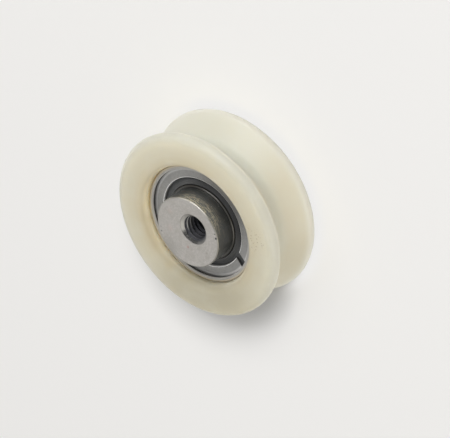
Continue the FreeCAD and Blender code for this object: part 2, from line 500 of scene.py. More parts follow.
class ShaderGraph(Graph):
    """A material's node tree, with the patterns that the finishes share. Its places are in millimetres."""

    LAYER_SHARE = 0.6

    def __init__(self, name: str) -> None:
        """Make an empty material that reads its piece's own coordinates.

        Args:
            name: the material's name.
        """
        self.material = bpy.data.materials.new(name)
        self.material.use_nodes = True
        self.material.node_tree.nodes.clear()
        super().__init__(self.material.node_tree)
        coordinates = self.node("ShaderNodeTexCoord")
        self.place = self.vector("SCALE", {0: coordinates.outputs["Object"], "Scale": 1 / MM})
        self.x, self.y, self.z = self.split(self.place)
        self.radius = (self.x * self.x + self.y * self.y) ** 0.5
        self.normal = self.split(coordinates.outputs["Normal"])

    def vector(self, operation: str, feeds: Feeds) -> NodeSocket:
        """A Vector Math node's result."""
        return self.node("ShaderNodeVectorMath", {"operation": operation}, feeds).outputs[0]

    def mix(self, share: Feed, first: Feed, second: Feed) -> NodeSocket:
        """A colour between two colours."""
        node = self.node("ShaderNodeMix", {"data_type": "RGBA"}, {0: share, 6: first, 7: second})
        return node.outputs[2]

    def layers(self, base: Feed, *layers: tuple[Feed, Feed]) -> Feed:
        """Lay colours over one another.

        Args:
            base: the lowest colour.
            layers: the share and the colour of each layer, from the lowest up.

        Returns:
            The colour that shows.
        """
        for share, colour in layers:
            base = self.mix(share, base, colour)
        return base

    def noise(self, place: Feed, size: float, detail: float = 2.0) -> Value:
        """Soft noise from 0 to 1, by the size of its largest features and its number of finer layers."""
        feeds = {"Vector": place, "Scale": 1 / size, "Detail": detail, "Roughness": self.LAYER_SHARE}
        return self.value(self.node("ShaderNodeTexNoise", feeds=feeds))

    def rings(self, pitch: float, drift: float) -> Value:
        """Turning marks on a face, which drift a little on their way round."""
        return self.noise(self.join(self.radius, self.x * drift, self.y * drift), pitch, 3.0)

    def lines(self, pitch: float, drift: float, detail: float) -> Value:
        """Turning marks on a side, which drift a little on their way round."""
        return self.noise(self.join(self.x * drift, self.y * drift, self.z), pitch, detail)

    def specks(self, spacing: float, reach: Span, chance: Span, favour: Feed = 0.0) -> Value:
        """Scattered round specks.

        Args:
            spacing: the mean distance between the points that may carry one.
            reach: where a speck begins to fade and where it ends, in spacings.
            chance: the draw from 0 to 1 that a point needs to carry a faint one, and a full one.
            favour: what is added to the draw.

        Returns:
            A value from 0 to 1.
        """
        node = self.node("ShaderNodeTexVoronoi", feeds={"Vector": self.place, "Scale": 1 / spacing})
        draw, _, _ = self.split(node.outputs["Color"])
        return (1 - self.value(node, "Distance").ramp(*reach)) * (draw + favour).ramp(*chance)

    def away(self, x: float, y: float = 0.0) -> Value:
        """The distance from a line beside the spin axis."""
        return ((self.x - x) ** 2 + (self.y - y) ** 2) ** 0.5

    def side(self, azimuth_deg: float, low: float, high: float, centre: float = 0.0) -> Value:
        """A mask towards an azimuth, between the cosines of two turns away from it, about a place on X."""
        x, turn = self.x - centre, math.radians(azimuth_deg)
        return ((x * math.cos(turn) + self.y * math.sin(turn)) / self.away(centre)).smooth(low, high)

    def stretch(self, x: float, y: float, z: float) -> NodeSocket:
        """The piece's coordinates, scaled along each axis."""
        return self.node("ShaderNodeMapping", feeds={"Vector": self.place, "Scale": (x, y, z)}).outputs[0]

    def levelled(self, share: Value) -> NodeSocket:
        """The surface's normal, turned towards the spin axis by a share from 0 to 1."""
        x, y, z = self.split(self.node("ShaderNodeNewGeometry").outputs["Normal"])
        return self.vector("NORMALIZE", {0: self.join(x * (1 - share), y * (1 - share), z)})

    def finish(
        self,
        feeds: Feeds,
        height: Value | None = None,
        depth: float = 0.0,
        normal: Feed | None = None,
    ) -> Material:
        """End the tree in one Principled shader.

        Args:
            feeds: what its sockets take.
            height: a relief from 0 to 1, if the surface has one.
            depth: the relief's depth.
            normal: the normal below the relief, if it isn't the mesh's own.

        Returns:
            The material.
        """
        shader = self.node("ShaderNodeBsdfPrincipled", feeds=feeds)
        if height is not None:
            bump = self.node("ShaderNodeBump", feeds={"Height": height, "Distance": depth * MM})
            if normal is not None:
                self.feed(bump.inputs["Normal"], normal)
            self.feed(shader.inputs["Normal"], bump.outputs[0])
        self.node("ShaderNodeOutputMaterial", feeds={"Surface": shader.outputs[0]})
        return self.material


@dataclass(frozen=True)
class Mark:
    """A round stain or nick on a face that looks along the spin axis."""

    x: float
    y: float
    size: float
    tone: Colour
    strength: float

    def over(self, g: ShaderGraph, colour: Feed, on_face: Value) -> NodeSocket:
        """Lay the mark over a colour, where the face is."""
        ragged = g.away(self.x, self.y) / self.size + (g.noise(g.place, 0.5) - 0.5) * 1.5
        return g.mix((1 - ragged.smooth(0.3, 1.0)) * on_face * self.strength, colour, self.tone)


@dataclass(frozen=True)
class Zone:
    """A band of a turned piece between two radii and two heights off its mid-plane."""

    radii: Span
    heights: Span
    middle: float
    tone: Colour
    border: float = 0.04

    def over(self, g: ShaderGraph, colour: Feed) -> NodeSocket:
        """Lay the band's tone over a colour.

        Args:
            g: the material's graph.
            colour: the colour elsewhere.

        Returns:
            The colour with the band.
        """
        inside: Value | float = 1.0
        for measure, (low, high) in ((g.radius, self.radii), (abs(g.z - self.middle), self.heights)):
            above = measure.smooth(low - self.border, low)
            under = 1 - measure.smooth(high, high + self.border)
            inside = above * under * inside
        return g.mix(inside, colour, self.tone)


@dataclass(frozen=True)
class NylonFinish:
    """Natural nylon: cream, slightly translucent, green-grey in the groove, with painted tan shade and a
    painted highlight line at the bore and painted shade towards set azimuths.
    """

    bore_radius: float
    rim_radius: float
    middle: float
    # Painted light and shade at the bore: the edge tones are a painted highlight line and the bore tones a
    # painted tan shade of the steel inside, each with darker and paler copies for set azimuths.
    edge_highlight_tone: Colour = (0.80, 0.70, 0.47)
    edge_light_tone: Colour = (0.86, 0.755, 0.51)
    bore_tone: Colour = (0.545, 0.48, 0.333)
    bore_shade_tone: Colour = (0.515, 0.452, 0.312)
    bore_light_tone: Colour = (0.58, 0.51, 0.355)
    face_tone: Colour = (0.605, 0.562, 0.43)
    outer_tone: Colour = (0.63, 0.60, 0.485)
    rim_tone: Colour = (0.51, 0.50, 0.43)
    floor_tone: Colour = (0.635, 0.63, 0.54)
    wall_tone: Colour = (0.635, 0.62, 0.53)
    # Painted shade: warmer, darker groove tones towards one azimuth.
    warm_shade_tone: Colour = (0.615, 0.575, 0.46)
    warm_floor_shade_tone: Colour = (0.61, 0.592, 0.492)
    crown_tone: Colour = (0.63, 0.61, 0.525)
    back_tone: Colour = (0.60, 0.58, 0.495)
    # Painted shade: the faces darken towards one azimuth in this tone.
    bottom_shade_tone: Colour = (0.46, 0.425, 0.315)
    speck_tone: Colour = (0.30, 0.23, 0.13)
    roughness: float = 0.5
    refraction: float = 1.53
    scatter: Colour = (1.0, 0.96, 0.88)
    scatter_depth: float = 8.0
    grain_depth: float = 0.015
    # Azimuths of the painted shade and painted light at the bore.
    bore_shade_azimuths_deg: Span = (172.0, 287.0)
    bore_light_azimuth_deg: float = 115.0
    # Azimuth of the groove's painted shade.
    warm_shade_azimuth_deg: float = -45.0
    # Azimuth and strength of the faces' painted shade.
    bottom_shade_azimuth_deg: float = 240.0
    bottom_shade: float = 0.8
    speck_place: Span = (21.4, -12.4)
    speck_reach: float = 6.0
    eased_edge: float = 0.6

    def material(self) -> Material:
        """Build the material.

        Returns:
            The material.
        """
        g = ShaderGraph("natural nylon")
        off_middle = abs(g.z - self.middle)
        outward = g.radius.ramp(self.bore_radius, self.rim_radius)
        by_bore = 1 - outward.smooth(0.15, 0.3)
        _, _, up = g.normal
        outwards = up * (g.z - self.middle) / off_middle.at_least(0.01)
        flange = off_middle.smooth(0.5 * self.middle, 0.75 * self.middle)
        on_face = (outwards.smooth(-0.5, 0.1) * flange).at_least(by_bore)
        front = g.z.smooth(0.8 * self.middle, 1.2 * self.middle)

        # Painted light and shade round the bore: darker towards two azimuths, paler towards a third, over the
        # painted highlight line and the painted tan shade.
        shade_sides = [g.side(azimuth, 0.75, 0.97) for azimuth in self.bore_shade_azimuths_deg]
        dark = shade_sides[0].at_least(shade_sides[1]) * (1 - outward.smooth(0.1, 0.22))
        pale = g.side(self.bore_light_azimuth_deg, 0.75, 0.97)
        bore = g.layers(self.bore_tone, (pale, self.bore_light_tone), (dark, self.bore_shade_tone))
        edge = g.layers(self.edge_highlight_tone, (dark * 0.6, self.bore_shade_tone), (pale, self.edge_light_tone))
        faced = g.layers(
            edge,
            (outward.ramp(0.0, 0.09), bore),
            (outward.ramp(0.12, 0.4), self.face_tone),
            (outward.ramp(0.45, 0.75), self.outer_tone),
            (outward.smooth(0.7, 1.0), g.mix(front, self.crown_tone, self.rim_tone)),
        )

        # Painted shade: the groove turns warmer and darker towards one azimuth.
        warm_shade = g.side(self.warm_shade_azimuth_deg, 0.35, 0.85)
        groove = g.layers(
            g.mix(warm_shade * warm_shade, self.floor_tone, self.warm_floor_shade_tone),
            (outward.smooth(0.4, 0.6), g.mix(warm_shade, self.wall_tone, self.warm_shade_tone)),
            (outward.smooth(0.84, 1.0), g.mix(front, self.crown_tone, self.back_tone)),
        )

        clouds = g.noise(g.place, 11.0, 3.0)
        # Painted shade: the faces darken towards one azimuth.
        bottom_shaded = g.side(self.bottom_shade_azimuth_deg, 0.5, 1.0) * on_face * self.bottom_shade
        dots = g.specks(0.8, (0.1, 0.3), (0.1, 0.5))
        dusty = 1 - g.away(*self.speck_place).smooth(0.3 * self.speck_reach, self.speck_reach)
        dusted = dots * (dusty * 0.85 + 0.03) * g.z.smooth(self.middle, 2 * self.middle)
        grain = g.noise(g.place, 0.5, 4.0)
        colour = g.layers(
            groove,
            (on_face, faced),
            (bottom_shaded, self.bottom_shade_tone),
            (clouds.smooth(0.4, 0.75) * 0.3, self.floor_tone),
            (dusted, self.speck_tone),
        )
        return g.finish({
            "Base Color": colour,
            "Roughness": self.roughness + (grain - 0.5) * 0.12,
            "IOR": self.refraction,
            "Subsurface Weight": 1.0,
            "Subsurface Radius": self.scatter,
            "Subsurface Scale": self.scatter_depth * MM,
        }, grain + clouds * 2.0, self.grain_depth, g.levelled(by_bore * self.eased_edge))


@dataclass(frozen=True)
class TurnedSteelFinish:
    """Lathe-turned steel: rings on its faces, lines round its sides, stains and small nicks."""

    name: str
    face_tone: Colour
    side_tone: Colour
    stain_tone: Colour
    face_roughness: float = 0.36
    side_roughness: float = 0.34
    metallic: float = 1.0
    zones: tuple[Zone, ...] = ()
    stain: float = 0.25
    mark_depth: float = 0.012
    mark_pitch: float = 0.22

    def material(self) -> Material:
        """Build the material.

        Returns:
            The material.
        """
        g = ShaderGraph(self.name)
        _, _, up = g.normal
        on_face = abs(up).smooth(0.5, 0.9)
        rings = g.rings(self.mark_pitch, 0.03)
        lines = g.lines(self.mark_pitch, 0.05, 3.0)
        marks = rings * on_face + lines * (1 - on_face)
        patches = g.noise(g.place, 5.0, 4.0).smooth(0.42, 0.72)
        nicks = g.specks(1.1, (0.04, 0.12), (0.88, 0.92))
        colour = g.layers(
            self.side_tone,
            (on_face, self.face_tone),
            ((marks - 0.5).ramp(-0.1, 0.35) * 0.25, self.stain_tone),
            (patches * self.stain, self.stain_tone),
            (nicks * 0.7, PIT_TONE),
        )
        for zone in self.zones:
            colour = zone.over(g, colour)
        roughness = on_face * (self.face_roughness - self.side_roughness) + self.side_roughness
        return g.finish({
            "Base Color": colour,
            "Metallic": self.metallic,
            "Roughness": (roughness + marks * 0.12 - nicks * 0.1).at_least(0.08),
        }, marks - nicks * 0.6, self.mark_depth)


@dataclass(frozen=True)
class HubFinish:
    """The hub's steel: a faced end with a painted edge highlight, an oily turned barrel with bronze streaks
    under a painted sheen and glints, and a dark tapped hole with painted light and shade.
    """

    hole_shift: float
    mouth_radius: float
    tap_radius: float
    face_height: float
    rear_height: float
    barrel_radius: float
    face_tone: Colour = (0.48, 0.46, 0.43)
    stain_tone: Colour = (0.38, 0.355, 0.315)
    pale_tone: Colour = (0.62, 0.58, 0.55)
    # Painted highlight on the face's edge towards the lit azimuth; the rest of the edge is dull.
    edge_highlight_tone: Colour = (0.62, 0.60, 0.54)
    dull_edge_tone: Colour = (0.33, 0.32, 0.29)
    barrel_tone: Colour = (0.228, 0.238, 0.245)
    # Bronze streaks and glints, strengthened as a painted sheen on the lit side.
    bronze_sheen_tone: Colour = (0.64, 0.595, 0.455)
    glint_tone: Colour = (0.95, 0.93, 0.86)
    # Painted shade and light in the hole: a near-black thread wall, crests with painted highlights, and a
    # countersink paler one way and darker another.
    hole_shade_tone: Colour = (0.088, 0.088, 0.097)
    crest_highlight_tone: Colour = (0.55, 0.55, 0.53)
    mouth_tone: Colour = (0.24, 0.235, 0.225)
    mouth_lit_tone: Colour = (0.5, 0.49, 0.465)
    mouth_shade_and_burr_tone: Colour = (0.07, 0.07, 0.068)
    lit_azimuth_deg: float = 36.0
    dim_azimuth_deg: float = 100.0
    lit_wall_azimuth_deg: float = 122.0
    dark_wall_azimuth_deg: float = 207.0
    face_roughness: float = 0.38
    barrel_roughness: float = 0.3
    mark_pitch: float = 0.35
    mark_depth: float = 0.045
    marks: tuple[Mark, ...] = (
        Mark(10.1, -5.8, 0.55, PIT_TONE, 0.95),
        Mark(10.7, -4.4, 0.35, (0.06, 0.06, 0.06), 0.8),
        Mark(-3.6, -4.0, 0.7, (0.42, 0.22, 0.19), 0.55),
        Mark(-10.3, 4.4, 0.4, (0.1, 0.1, 0.1), 0.7),
        Mark(-9.4, 5.7, 0.3, (0.12, 0.12, 0.12), 0.6),
        Mark(2.5, -8.5, 0.6, (0.3, 0.27, 0.22), 0.4),
        Mark(-12.0, -1.5, 5.5, (0.36, 0.345, 0.315), 0.6),
        Mark(-6.0, 4.0, 1.6, (0.56, 0.46, 0.42), 0.3),
        Mark(-1.5, 8.5, 1.3, (0.58, 0.48, 0.44), 0.3),
    )

    def material(self) -> Material:
        """Build the material.

        Returns:
            The material.
        """
        g = ShaderGraph("oiled hub steel")
        from_hole = g.away(self.hole_shift)
        below = (self.face_height - g.z).at_most(g.z - self.rear_height)
        by_hole = 1 - from_hole.ramp(self.mouth_radius, self.mouth_radius + 0.05)
        in_hole = by_hole * below.smooth(0.8, 1.4)
        in_mouth = by_hole * (1 - in_hole) * below.smooth(0.02, 0.1)
        on_face = 1 - below.smooth(0.3, 0.36)
        on_edge = on_face * g.radius.smooth(self.barrel_radius - 0.4, self.barrel_radius - 0.25)
        off_face = 1 - on_face
        rings = g.rings(self.mark_pitch, 0.05)
        lines = g.lines(self.mark_pitch, 0.14, 4.0)
        grit = g.noise(g.place, 0.35, 3.0)

        # Painted sheen: the bronze streaks and glints gather near the face on the lit side, over the turning
        # marks.
        lit = g.side(self.lit_azimuth_deg, 0.3, 0.95) * (1 - g.side(self.dim_azimuth_deg, 0.66, 0.9))
        sheen = (1 - below.smooth(1.0, 5.5)) * lit
        streaks = (lines * 0.65 + grit * 0.35).smooth(0.45, 0.58) * (0.12 + sheen * 0.88)
        glints = g.specks(0.8, (0.08, 0.2), (0.84, 0.9), sheen * 0.45)
        barrel = g.layers(self.barrel_tone, (streaks, self.bronze_sheen_tone), (glints, self.glint_tone))
        face = g.layers(
            self.face_tone,
            (rings.ramp(0.35, 0.7) * 0.42, self.stain_tone),
            (g.noise(g.place, 0.7, 3.0).smooth(0.4, 0.7) * 0.4, self.pale_tone),
            (g.noise(g.place, 3.5, 5.0).smooth(0.48, 0.7) * 0.45, self.stain_tone),
        )
        # Painted highlight on the edge towards the lit azimuth.
        edge = g.mix(g.side(self.lit_azimuth_deg, 0.8, 0.96), self.dull_edge_tone, self.edge_highlight_tone)
        outside = g.layers(barrel, (on_face, face), (on_edge, edge))
        for mark in self.marks:
            outside = mark.over(g, outside, on_face)

        # Painted light and shade in the hole: the countersink wall is paler towards one azimuth and darker
        # towards another, the thread is near black and its crests are lit on one side; a dark burr rings the
        # mouth.
        lit_wall = g.side(self.lit_wall_azimuth_deg, 0.5, 0.85, self.hole_shift)
        dark_wall = g.side(self.dark_wall_azimuth_deg, 0.7, 0.9, self.hole_shift)
        shade = dark_wall * (0.6 + grit.smooth(0.35, 0.6) * 0.4)
        mouth = g.layers(self.mouth_tone, (lit_wall, self.mouth_lit_tone), (shade, self.mouth_shade_and_burr_tone))
        burr = 1 - abs(from_hole - self.mouth_radius).smooth(0.03, 0.12)
        crests = 1 - from_hole.smooth(self.tap_radius + 0.04, self.tap_radius + 0.22)
        lit_crests = crests * (1 - below.smooth(1.5, 5.5)) * (lit_wall * 0.85 + 0.1)
        colour = g.layers(
            outside,
            (in_mouth, mouth),
            (burr * on_face * 0.5, self.mouth_shade_and_burr_tone),
            (in_hole, g.mix(lit_crests, self.hole_shade_tone, self.crest_highlight_tone)),
        )

        plain = on_face * (self.face_roughness - self.barrel_roughness) + self.barrel_roughness
        roughness = plain + on_edge * 0.04 + in_mouth * 0.3 + in_hole * 0.2 + sheen * off_face * 0.3
        relief = rings * on_face * 0.13 + (lines + grit) * off_face * (1 - by_hole)
        return g.finish({
            "Base Color": colour,
            "Metallic": 1.0,
            "Roughness": roughness + rings * on_face * 0.1 + grit * off_face * 0.25,
        }, relief, self.mark_depth)


@dataclass(frozen=True)
class StampedSteelFinish:
    """Stamped strip: fine even grain, faint straight scratches, dark specks, dark sheared ends, and painted
    shade towards one azimuth.
    """

    name: str
    tone: Colour
    scratch_tone: Colour
    roughness: float = 0.42
    metallic: float = 1.0
    zones: tuple[Zone, ...] = ()
    # Painted shade: how strongly, and towards which azimuth, the ring darkens in the sheared ends' tone.
    ring_shade: float = 0.0
    ring_shade_azimuth_deg: float = 10.0
    sheared_and_shade_tone: Colour = (0.07, 0.07, 0.07)
    grain_depth: float = 0.01

    def material(self) -> Material:
        """Build the material.

        Returns:
            The material.
        """
        g = ShaderGraph(self.name)
        grain = g.noise(g.place, 0.5, 4.0)
        scratches = g.noise(g.stretch(0.15, 1.0, 1.0), 0.18, 2.0).smooth(0.62, 0.8)
        colour = g.layers(
            self.tone,
            (g.noise(g.place, 6.0, 3.0).smooth(0.35, 0.7) * 0.35, self.scratch_tone),
            (scratches * 0.35 + grain.smooth(0.35, 0.7) * 0.4, self.scratch_tone),
            (g.specks(1.4, (0.03, 0.09), (0.86, 0.9)) * 0.75, PIT_TONE),
        )
        for zone in self.zones:
            colour = zone.over(g, colour)
        across, along, up = g.normal
        radial = abs(across * g.x + along * g.y) / g.radius
        sheared = (1 - radial.smooth(0.3, 0.7)) * (1 - abs(up).smooth(0.3, 0.6))
        # Painted shade: the ring darkens towards one azimuth.
        darkened = g.side(self.ring_shade_azimuth_deg, 0.75, 0.97) * self.ring_shade
        return g.finish({
            "Base Color": g.mix((sheared * 0.9).at_least(darkened), colour, self.sheared_and_shade_tone),
            "Metallic": self.metallic,
            "Roughness": self.roughness + (grain - 0.5) * 0.2 + scratches * 0.08,
        }, grain * 0.7 + scratches * 0.5, self.grain_depth)


@dataclass(frozen=True)
class RubberFinish:
    """Dark moulded rubber with dust, and painted shade towards one azimuth."""

    tone: Colour = (0.09, 0.092, 0.092)
    dust_tone: Colour = (0.115, 0.117, 0.115)
    # Painted shade towards one azimuth.
    seal_shade_tone: Colour = (0.022, 0.022, 0.023)
    seal_shade_azimuth_deg: float = 5.0
    roughness: float = 0.6
    gloss: float = 0.3
    grain_depth: float = 0.02

    def material(self) -> Material:
        """Build the material.

        Returns:
            The material.
        """
        g = ShaderGraph("seal rubber")
        grain = g.noise(g.place, 0.35, 4.0)
        dust = g.noise(g.place, 3.0, 4.0).smooth(0.45, 0.75)
        # Painted shade: the seal darkens towards one azimuth.
        shaded_side = g.side(self.seal_shade_azimuth_deg, 0.3, 0.9)
        return g.finish({
            "Base Color": g.layers(
                self.tone, (dust * 0.6, self.dust_tone), (shaded_side * 0.9, self.seal_shade_tone)
            ),
            "Roughness": self.roughness + dust * 0.12 + (grain - 0.5) * 0.15,
            "Specular IOR Level": self.gloss,
        }, grain, self.grain_depth)


@dataclass(frozen=True)
class BallFinish:
    """Lapped ball steel with faint rolling bands."""

    tone: Colour = (0.66, 0.66, 0.67)
    band_tone: Colour = (0.5, 0.5, 0.5)
    roughness: float = 0.1

    def material(self) -> Material:
        """Build the material.

        Returns:
            The material.
        """
        g = ShaderGraph("lapped ball steel")
        bands = g.noise(g.stretch(0.2, 0.2, 1.0), 0.4, 2.0)
        return g.finish({
            "Base Color": g.mix(bands.smooth(0.4, 0.7) * 0.3, self.tone, self.band_tone),
            "Metallic": 1.0,
            "Roughness": self.roughness + bands * 0.06,
        })


def publish(name: str, mesh: Mesh, body: Body, slot: Slot, *nodes: str) -> None:
    """Hand a finished mesh to the frame.

    Args:
        name: the piece's name.
        mesh: its mesh, in the row frame.
        body: the body that it rides on.
        slot: the record's material slot; not used.
        nodes: the nodes that it stands for.
    """
    mesh.name = name
    piece = bpy.data.objects.new(name, mesh)
    bpy.context.scene.collection.objects.link(piece)
    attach(piece, body.value)
    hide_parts(*nodes)
    LOG.info("%s: %d faces, rides on %s", name, len(mesh.polygons), body.value)


def dress(node: str, material: Material) -> None:
    """Give a node that stays showing its finish.

    Args:
        node: the node's name.
        material: the finish.
    """
    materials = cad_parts[node].data.materials
    materials.clear()
    materials.append(material)
    LOG.info("%s: keeps its solid, dressed in %s", node, material.name)


def weld(meshes: list[Mesh], sharp_deg: float = 50.0) -> Mesh:
    """Join meshes into one closed mesh that faces outwards.

    Args:
        meshes: the meshes, which share their open edges.
        sharp_deg: edges turned by more than this stay sharp.

    Returns:
        The joined mesh, with the first one's material.
    """
    joined = bmesh.new()
    for mesh in meshes:
        joined.from_mesh(mesh)
    bmesh.ops.remove_doubles(joined, verts=joined.verts, dist=WELD * 10)
    open_edges = [edge for edge in joined.edges if edge.is_boundary]
    bmesh.ops.holes_fill(joined, edges=open_edges)
    bmesh.ops.recalc_face_normals(joined, faces=joined.faces)
    for face in joined.faces:
        face.smooth = True
    joined.to_mesh(meshes[0])
    joined.free()
    meshes[0].set_sharp_from_angle(angle=math.radians(sharp_deg))
    return meshes[0]


@dataclass(frozen=True)
class Slit:
    """The cut across a split ring: a straight slot, slanted from the radius that it starts on."""

    width: float = 0.0
    angle_deg: float = 0.0
    slant_deg: float = 0.0
    radius: float = 0.0


@dataclass
class Lathe:
    """Turns profiles into finished meshes."""

    segments: int = 192
    tree: TurningTree = field(default_factory=TurningTree)

    def turn(self, profile: Profile, material: Material, slit: Slit = Slit()) -> Mesh:
        """Turn one profile.

        Args:
            profile: the outline.
            material: the finish.
            slit: the cut across a split ring, with no width for a whole one.

        Returns:
            The turned mesh.
        """
        points = profile.points()
        outline = bpy.data.meshes.new("outline")
        outline.from_pydata(points, [(i, i + 1) for i in range(len(points) - 1)], [])
        return self.tree.run(outline, {
            "Profile Points": len(points),
            "Segments": self.segments,
            "Slit Width": slit.width * MM,
            "Slit Angle": math.radians(slit.angle_deg),
            "Slit Slant": math.radians(slit.slant_deg),
            "Slit Radius": slit.radius * MM,
            ShapeTree.FINISH: material,
        })

    def piece(
        self,
        name: str,
        corners: list[Corner],
        material: Material,
        body: Body,
        slot: Slot,
        node: str,
        slit: Slit = Slit(),
    ) -> None:
        """Turn a closed outline, with its slit if it has one, and publish it as a piece."""
        mesh = weld([self.turn(Profile(corners), material, slit)])
        publish(name, mesh, body, slot, node)


@dataclass(frozen=True)
class Turned:
    """What a turned node's box says of it: outer radius and the two end heights."""

    radius: float
    low: float
    high: float

    @classmethod
    def node(cls, name: str) -> "Turned":
        """Read a node's box."""
        low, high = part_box(name)
        return cls(high.x / MM, low.z / MM, high.z / MM)

    @property
    def middle(self) -> float:
        """The mid-plane's height."""
        return (self.low + self.high) / 2


@dataclass
class Assembly:
    """A sub-assembly, with the lathe that turns its pieces."""

    lathe: Lathe


@dataclass
class NylonTyre(Assembly):
    """The V-grooved nylon tyre."""

    groove_deg: float = 90.0
    groove_fillet: float = 3.0
    rim_fillet: float = 2.2
    bore_fillet: float = 2.7
    press_gap: float = 0.01

    def build(self) -> None:
        """Make, dress and publish the tyre."""
        tyre = Turned.node("roller_tyre")
        bore = Turned.node("outer_ring").radius + self.press_gap
        slope = math.radians(self.groove_deg / 2)
        rim = tyre.radius - self.rim_fillet + self.rim_fillet / math.tan(slope / 2)
        floor = rim - (tyre.high - tyre.middle) / math.tan(slope)
        corners = [
            Corner(bore, tyre.low, self.bore_fillet),
            Corner(bore, tyre.high, self.bore_fillet),
            Corner(rim, tyre.high, self.rim_fillet),
            Corner(floor, tyre.middle, self.groove_fillet),
            Corner(rim, tyre.low, self.rim_fillet),
        ]
        finish = NylonFinish(bore, tyre.radius, tyre.middle).material()
        self.lathe.piece("nylon_tyre", corners, finish, Body.ROLLER, Slot.NYLON, "roller_tyre")


@dataclass
class BearingRings(Assembly):
    """The bearing's outer and inner rings."""

    land_wall: float = 1.5875
    shoulder_height: float = 1.15
    raceway_wall: float = 2.33
    raceway_radius: float = 3.302
    raceway_steps: int = 16
    groove_depth: float = 0.6
    groove_fillet: float = 0.08
    lip_thickness: float = 0.75
    edge_fillet: float = 0.25
    corner_fillet: float = 0.45
    bore_radius: float = 9.525
    # Painted shade in the split ring's groove and painted light on the lip's inner wall; a tan band on the
    # rim.
    groove_shade_tone: Colour = (0.01, 0.01, 0.01)
    jacket_tone: Colour = (0.88, 0.87, 0.85)
    rim_tone: Colour = (0.58, 0.52, 0.42)
    lip_wall_light_tone: Colour = (0.5, 0.48, 0.45)

    def build(self) -> None:
        """Make, dress and publish both rings."""
        ground = TurnedSteelFinish(
            "ground ring steel",
            face_tone=(0.5, 0.49, 0.465),
            side_tone=(0.42, 0.40, 0.37),
            stain_tone=(0.25, 0.23, 0.2),
            face_roughness=0.5,
            side_roughness=0.4,
            metallic=0.6,
            zones=self.zones(),
        ).material()
        # The inner ring's steel is near black.
        darkened = TurnedSteelFinish(
            "oiled ring steel",
            face_tone=(0.1, 0.098, 0.092),
            side_tone=(0.13, 0.126, 0.118),
            stain_tone=(0.06, 0.055, 0.046),
        ).material()
        outer, inner = self.outer_corners(), self.inner_corners()
        self.lathe.piece("bearing_outer_ring", outer, ground, Body.ROLLER, Slot.RING, "outer_ring")
        self.lathe.piece("bearing_inner_ring", inner, darkened, Body.HUB, Slot.RING, "inner_ring")

    def zones(self) -> tuple[Zone, ...]:
        """The bands of the outer ring that look different.

        Returns:
            The split ring's groove in painted shade, the jacket, a tan band on the rim and the wall of the
            lip in painted light.
        """
        ring = Turned.node("outer_ring")
        groove = Turned.node("front_retaining_ring").low - ring.middle
        seat = ring.radius - self.land_wall
        top = ring.high - ring.middle
        lip = top - self.lip_thickness
        rim, middle = ring.radius, ring.middle
        over, far = 0.1, 1.0  # how far a band reaches past the surface that it ends on
        return (
            # Painted shade: the groove under the lip is near black.
            Zone((seat - over, seat + far), (groove, lip + 0.3), middle, self.groove_shade_tone),
            Zone((rim - 0.04, rim + far), (0.0, top - 0.5), middle, self.jacket_tone),
            Zone((rim - 0.75, rim - 0.06), (lip, top + over), middle, self.rim_tone, 0.15),
            # Painted light: the lip's inner wall above the groove is paler.
            Zone((seat - over, seat + 0.25), (lip + 0.38, top + over), middle, self.lip_wall_light_tone, 0.06),
        )

    def raceway(self, bottom: float, shoulder: float, middle: float, outwards: int) -> list[Corner]:
        """Points of a raceway arc between its two shoulders, from the rear to the front.

        Args:
            bottom: the arc's radius at mid-plane, from the spin axis.
            shoulder: the radius of the shoulders beside it.
            middle: the mid-plane's height.
            outwards: 1 where the arc bulges away from the spin axis, -1 towards it.

        Returns:
            The arc's points.
        """
        centre = bottom - outwards * self.raceway_radius
        reach = math.acos((shoulder - centre) * outwards / self.raceway_radius)
        arc: list[Corner] = []
        for step in range(self.raceway_steps + 1):
            turn = reach * (2 * step / self.raceway_steps - 1)
            radius = centre + outwards * self.raceway_radius * math.cos(turn)
            arc.append(Corner(radius, middle + self.raceway_radius * math.sin(turn)))
        return arc

    def outer_corners(self) -> list[Corner]:
        """The outer ring's outline.

        Returns:
            Its corners.
        """
        ring = Turned.node("outer_ring")
        step = Turned.node("front_seal").low
        groove = Turned.node("front_retaining_ring").low
        lip = ring.high - self.lip_thickness
        seat = ring.radius - self.land_wall
        bottom = ring.radius - self.raceway_wall
        shoulder = bottom - self.shoulder_height
        front = [
            Corner(shoulder, step),
            Corner(seat, step),
            Corner(seat, groove),
            Corner(seat + self.groove_depth, groove),
            Corner(seat + self.groove_depth, lip),
            Corner(seat, lip, self.groove_fillet),
            Corner(seat, ring.high, self.edge_fillet),
            Corner(ring.radius, ring.high, self.corner_fillet),
        ]
        return self.raceway(bottom, shoulder, ring.middle, 1) + front + mirrored(front, ring.middle)

    def inner_corners(self) -> list[Corner]:
        """The inner ring's outline.

        Returns:
            Its corners.
        """
        ring = Turned.node("inner_ring")
        bottom = self.bore_radius + self.raceway_wall
        front = [
            Corner(ring.radius, ring.high, self.corner_fillet),
            Corner(self.bore_radius, ring.high, self.corner_fillet),
        ]
        return self.raceway(bottom, ring.radius, ring.middle, -1) + front + mirrored(front, ring.middle)


